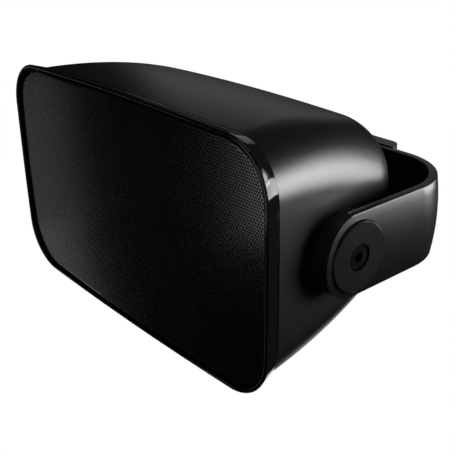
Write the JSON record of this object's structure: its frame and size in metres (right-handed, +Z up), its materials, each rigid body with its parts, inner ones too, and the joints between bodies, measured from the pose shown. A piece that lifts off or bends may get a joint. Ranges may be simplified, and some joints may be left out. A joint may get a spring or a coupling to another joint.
{
  "type": "outdoor patio speaker",
  "caption": "Landscape outdoor loudspeaker with a crowned perforated grille, gloss bezel and tapered cabinet that tilts in a U-shaped wall strap.",
  "frame": {"origin": "centre of the mounting plate's wall face", "axes": "+Y into the wall, +Z up, +X along the long side; the grille faces -Y"},
  "size_m": [0.2904, 0.182, 0.1654],
  "materials": {
    "cabinet_plastic": "fine satin moulded",
    "bezel_gloss": "polished",
    "seal_rubber": "matte",
    "grille_metal": "satin powder coat, perforated",
    "basket_metal": "satin",
    "cone_plastic": "matte",
    "coil_former": "drawn",
    "spider_cloth": "impregnated cloth",
    "motor_steel": "zinc plated",
    "magnet_ferrite": "ground ferrite",
    "screw_steel": "black oxide",
    "tweeter_plastic": "satin",
    "dome_cloth": "coated cloth",
    "cup_plastic": "satin moulded",
    "post_brass": "plated",
    "board_laminate": "glass laminate",
    "winding_copper": "enamelled wire",
    "capacitor_film": "film wrapped",
    "resistor_ceramic": "cement",
    "bracket_metal": "satin powder coat",
    "disc_metal": "satin powder coat",
    "spacer_plastic": "matte moulded",
    "bolt_steel": "black oxide",
    "insert_brass": "turned"
  },
  "bodies": {
    "bracket": {"bracket_strap": "bracket_metal", "wall_plate": "bracket_metal", "strap_screws": "screw_steel"},
    "cabinet": {"cabinet_shell": "cabinet_plastic", "front_baffle": "bezel_gloss", "baffle_seal": "seal_rubber", "grille": "grille_metal", "woofer_basket": "basket_metal", "woofer_surround": "seal_rubber", "woofer_spider": "spider_cloth", "woofer_top_plate": "motor_steel", "woofer_magnet": "magnet_ferrite", "woofer_pole_piece": "motor_steel", "woofer_screws": "screw_steel", "tweeter_faceplate": "tweeter_plastic", "tweeter_dome": "dome_cloth", "tweeter_motor": "magnet_ferrite", "tweeter_screws": "screw_steel", "baffle_screws": "screw_steel", "terminal_cup": "cup_plastic", "binding_post_red": "post_brass", "binding_post_black": "post_brass", "crossover_board": "board_laminate", "crossover_inductor_left": "winding_copper", "crossover_inductor_right": "winding_copper", "crossover_capacitors": "capacitor_film", "crossover_resistor": "resistor_ceramic", "pivot_disc_left": "disc_metal", "pivot_bolt_left": "bolt_steel", "pivot_insert_left": "insert_brass", "pivot_spacer_left": "spacer_plastic", "friction_pad_left": "seal_rubber", "pivot_disc_right": "disc_metal", "pivot_bolt_right": "bolt_steel", "pivot_insert_right": "insert_brass", "pivot_spacer_right": "spacer_plastic", "friction_pad_right": "seal_rubber"},
    "woofer_diaphragm": {"woofer_cone": "cone_plastic", "woofer_dust_cap": "cone_plastic", "woofer_voice_coil": "coil_former"}
  },
  "joints": [
    {"name": "cabinet_tilt", "type": "hinge", "parent": "bracket", "child": "cabinet", "pos_m": [0, -0.1152, 0], "axis": [1, 0, 0], "range_deg": [-60, 60]},
    {"name": "cone_travel", "type": "slide", "parent": "cabinet", "child": "woofer_diaphragm", "axis": [0, -1, 0], "range_m": [-0.004, 0.004], "stiffness_N_per_m": 1200}
  ]
}
